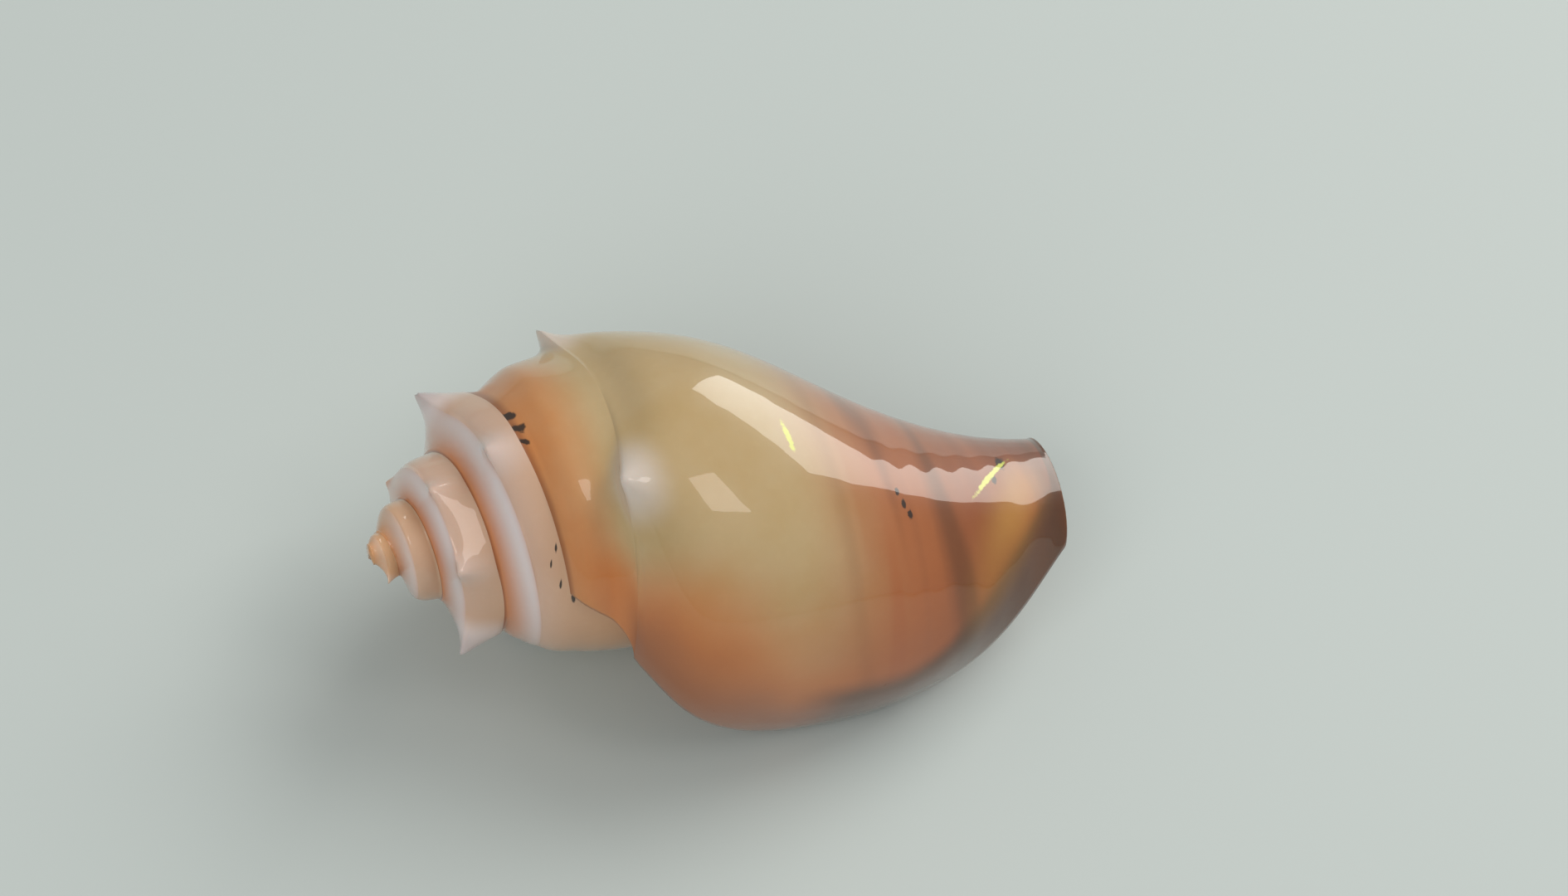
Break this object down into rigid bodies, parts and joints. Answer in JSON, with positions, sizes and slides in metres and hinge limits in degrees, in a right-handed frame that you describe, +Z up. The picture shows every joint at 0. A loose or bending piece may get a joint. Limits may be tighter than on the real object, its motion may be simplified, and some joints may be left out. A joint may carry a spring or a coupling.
{
  "type": "conch shell",
  "caption": "Glossy orange and cream conch shell with a knobbed spire and a flared lip, lying on its lip edge.",
  "frame": {"origin": "on the surface it lies on, under the middle of the shell", "axes": "+Z up, +X along the shell from the apex to the front end, the lip towards -Y"},
  "size_m": [0.091, 0.0496, 0.0415],
  "materials": {
    "shell": "glossy"
  },
  "bodies": {
    "root": {"shell": "shell"}
  },
  "joints": []
}
